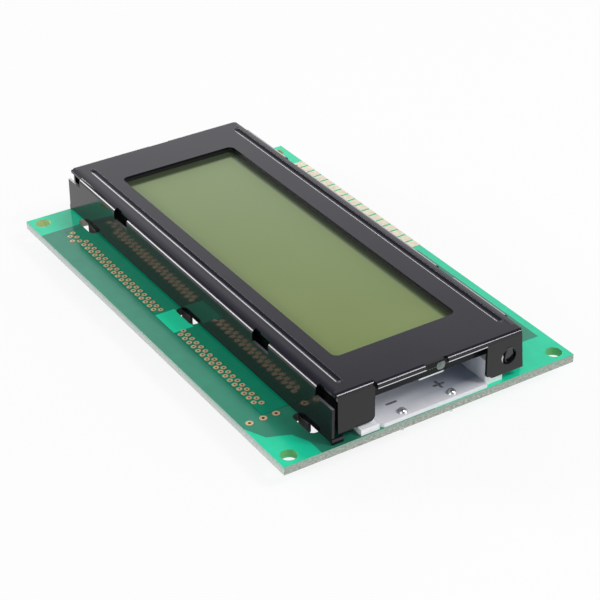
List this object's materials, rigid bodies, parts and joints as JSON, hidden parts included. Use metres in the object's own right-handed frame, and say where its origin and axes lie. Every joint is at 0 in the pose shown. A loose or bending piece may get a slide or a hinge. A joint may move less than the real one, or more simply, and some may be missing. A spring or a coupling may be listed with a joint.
{
  "type": "character lcd module",
  "caption": "Character LCD module with a folded black bezel, glass cell and LED backlight on a green circuit board with header pads and mounting holes.",
  "frame": {"origin": "centre of the module's outline, at the plane its rear chips rest on", "axes": "+X along the long side towards the backlight terminals, +Y towards the header pads, +Z out of the viewing face"},
  "size_m": [0.098, 0.06, 0.0136],
  "materials": {
    "bezel_black": "glossy black lacquer",
    "spacer_black": "matte black film",
    "polariser": "satin film",
    "cell_glass": "clear",
    "seal": "cured resin",
    "zebra_rubber": "matte",
    "diffuser": "matte white film",
    "white_housing": "moulded white",
    "white_board": "white solder mask",
    "led_resin": "clear resin over phosphor",
    "tin": "tinned, bright",
    "solder_mask": "green solder mask",
    "gilt_copper": "gilt copper",
    "pad_tin": "pale gilt",
    "chip_resin": "moulded black",
    "tan_ceramic": "fired, matt"
  },
  "bodies": {
    "root": {"bezel": "bezel_black", "spacer_frame": "spacer_black", "front_polariser": "polariser", "front_glass": "cell_glass", "perimeter_seal": "seal", "fill_port_plug": "seal", "rear_glass": "cell_glass", "rear_polariser": "polariser", "zebra_strip_front": "zebra_rubber", "zebra_strip_back": "zebra_rubber", "diffuser_sheet": "diffuser", "backlight_housing": "white_housing", "backlight_board": "white_board", "led_chips": "led_resin", "cathode_pin": "tin", "anode_pin": "tin", "terminal_solder": "tin", "pcb": "solder_mask", "vias_left": "gilt_copper", "vias_right": "gilt_copper", "ground_vias_group": "gilt_copper", "header_pads": "pad_tin", "controller_chip": "chip_resin", "controller_leads": "tin", "driver_chip_a": "chip_resin", "driver_leads_a": "tin", "driver_chip_b": "chip_resin", "driver_leads_b": "tin", "chip_resistors": "chip_resin", "chip_capacitors": "tan_ceramic", "chip_end_caps": "tin"}
  },
  "joints": []
}
